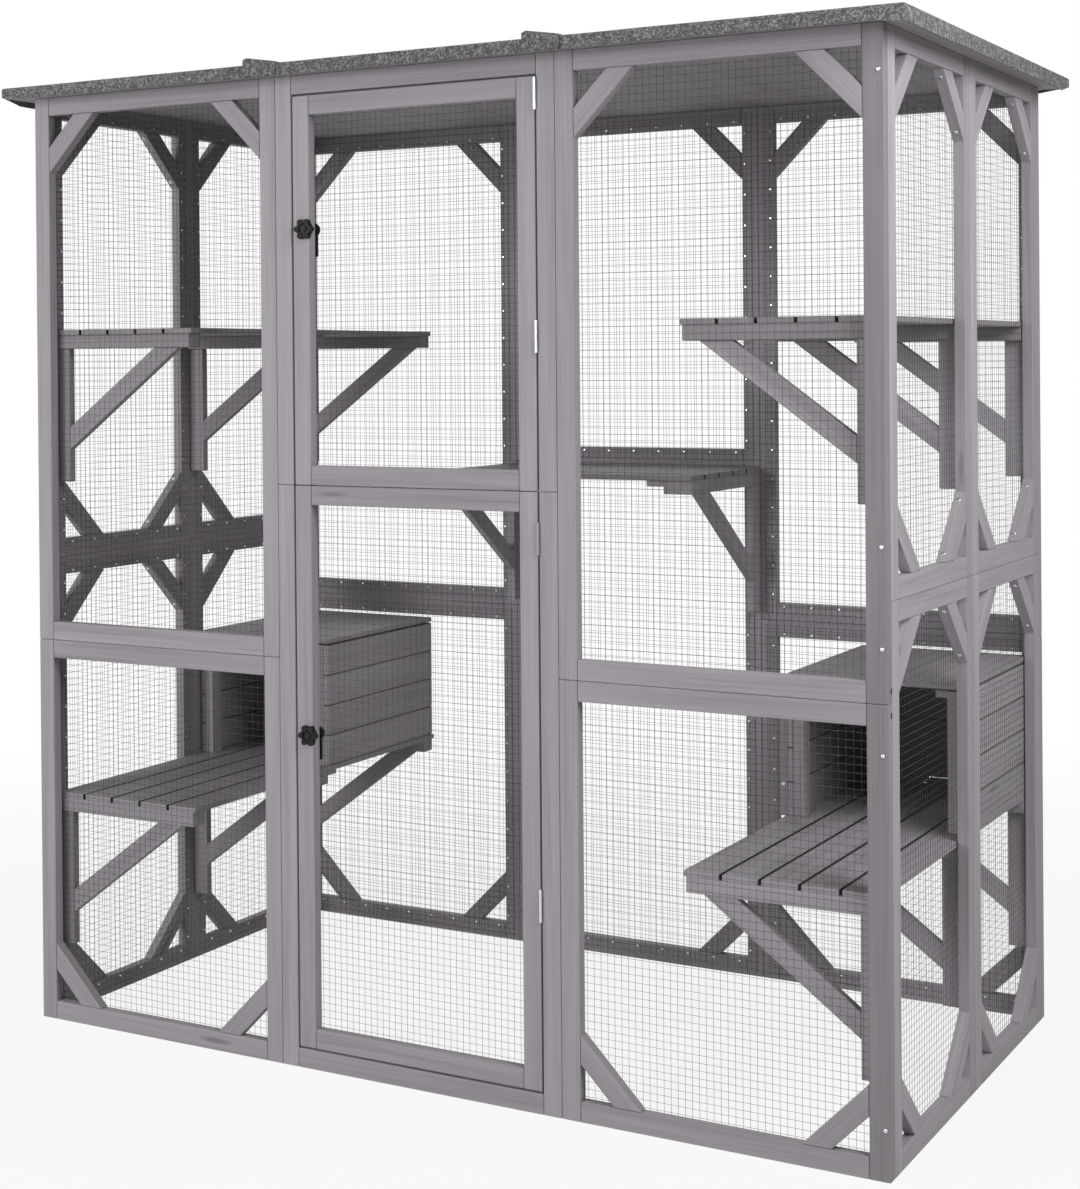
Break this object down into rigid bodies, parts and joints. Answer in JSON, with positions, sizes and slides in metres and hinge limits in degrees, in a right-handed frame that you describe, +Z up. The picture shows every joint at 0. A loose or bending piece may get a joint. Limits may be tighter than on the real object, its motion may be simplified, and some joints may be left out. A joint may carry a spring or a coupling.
{
  "type": "wooden outdoor cat enclosure",
  "caption": "Tall roofed enclosure of wooden frames and square wire mesh with stacked doors, slatted shelves on brackets and corner sleeping boxes",
  "frame": {"origin": "centre of the overall box at ground level", "axes": "X to the right along the front seen from outside, Y from the door side to the back, Z up"},
  "size_m": [1.816, 0.986, 1.81],
  "materials": {
    "stained_wood": "grey stain, matt",
    "mesh_wire": "black coated welded wire",
    "roofing_felt": "mineral-faced bitumen felt",
    "zinc_steel": "zinc plated, satin",
    "black_plastic": "moulded, matt"
  },
  "bodies": {
    "root": {"front_left_lower_frame": "stained_wood", "front_left_upper_frame": "stained_wood", "front_right_lower_frame": "stained_wood", "front_right_upper_frame": "stained_wood", "lower_door_jamb": "stained_wood", "upper_door_jamb": "stained_wood", "back_left_lower_frame": "stained_wood", "back_left_upper_frame": "stained_wood", "back_middle_lower_frame": "stained_wood", "back_middle_upper_frame": "stained_wood", "back_right_lower_frame": "stained_wood", "back_right_upper_frame": "stained_wood", "left_front_lower_frame": "stained_wood", "left_front_upper_frame": "stained_wood", "left_back_lower_frame": "stained_wood", "left_back_upper_frame": "stained_wood", "right_front_lower_frame": "stained_wood", "right_front_upper_frame": "stained_wood", "right_back_lower_frame": "stained_wood", "right_back_upper_frame": "stained_wood", "front_wire_mesh": "mesh_wire", "back_wire_mesh": "mesh_wire", "left_wire_mesh": "mesh_wire", "right_wire_mesh": "mesh_wire", "left_roof_board": "stained_wood", "middle_roof_board": "stained_wood", "right_roof_board": "stained_wood", "left_roof_felt": "roofing_felt", "middle_roof_felt": "roofing_felt", "right_roof_felt": "roofing_felt", "roof_cover_strips": "roofing_felt", "upper_left_shelf": "stained_wood", "upper_right_shelf": "stained_wood", "middle_shelf": "stained_wood", "lower_left_platform": "stained_wood", "lower_right_platform": "stained_wood", "upper_left_brackets": "stained_wood", "upper_right_brackets": "stained_wood", "middle_shelf_brackets": "stained_wood", "lower_left_brackets": "stained_wood", "lower_right_brackets": "stained_wood", "left_house_walls": "stained_wood", "right_house_walls": "stained_wood", "left_house_roof": "stained_wood", "right_house_roof": "stained_wood", "lower_door_hinges": "zinc_steel", "upper_door_hinges": "zinc_steel", "corner_bolts": "zinc_steel"},
    "lower_door": {"lower_door_frame": "stained_wood", "lower_door_mesh": "mesh_wire", "lower_door_hinge_leaves": "zinc_steel", "lower_latch_plate": "black_plastic"},
    "upper_door": {"upper_door_frame": "stained_wood", "upper_door_mesh": "mesh_wire", "upper_door_hinge_leaves": "zinc_steel", "upper_latch_plate": "black_plastic"},
    "lower_latch": {"lower_latch_turn": "black_plastic"},
    "upper_latch": {"upper_latch_turn": "black_plastic"}
  },
  "joints": [
    {"name": "lower_door_swing", "type": "hinge", "parent": "root", "child": "lower_door", "pos_m": [0.2495, -0.4475, 0.54], "axis": [0, 0, 1], "range_deg": [0, 170]},
    {"name": "upper_door_swing", "type": "hinge", "parent": "root", "child": "upper_door", "pos_m": [0.2495, -0.4475, 1.395], "axis": [0, 0, 1], "range_deg": [0, 170]},
    {"name": "lower_latch_turning", "type": "hinge", "parent": "lower_door", "child": "lower_latch", "pos_m": [-0.2195, -0.445, 0.59963], "axis": [0, 1, 0], "range_deg": [0, 90]},
    {"name": "upper_latch_turning", "type": "hinge", "parent": "upper_door", "child": "upper_latch", "pos_m": [-0.2195, -0.445, 1.50309], "axis": [0, 1, 0], "range_deg": [0, 90]}
  ]
}
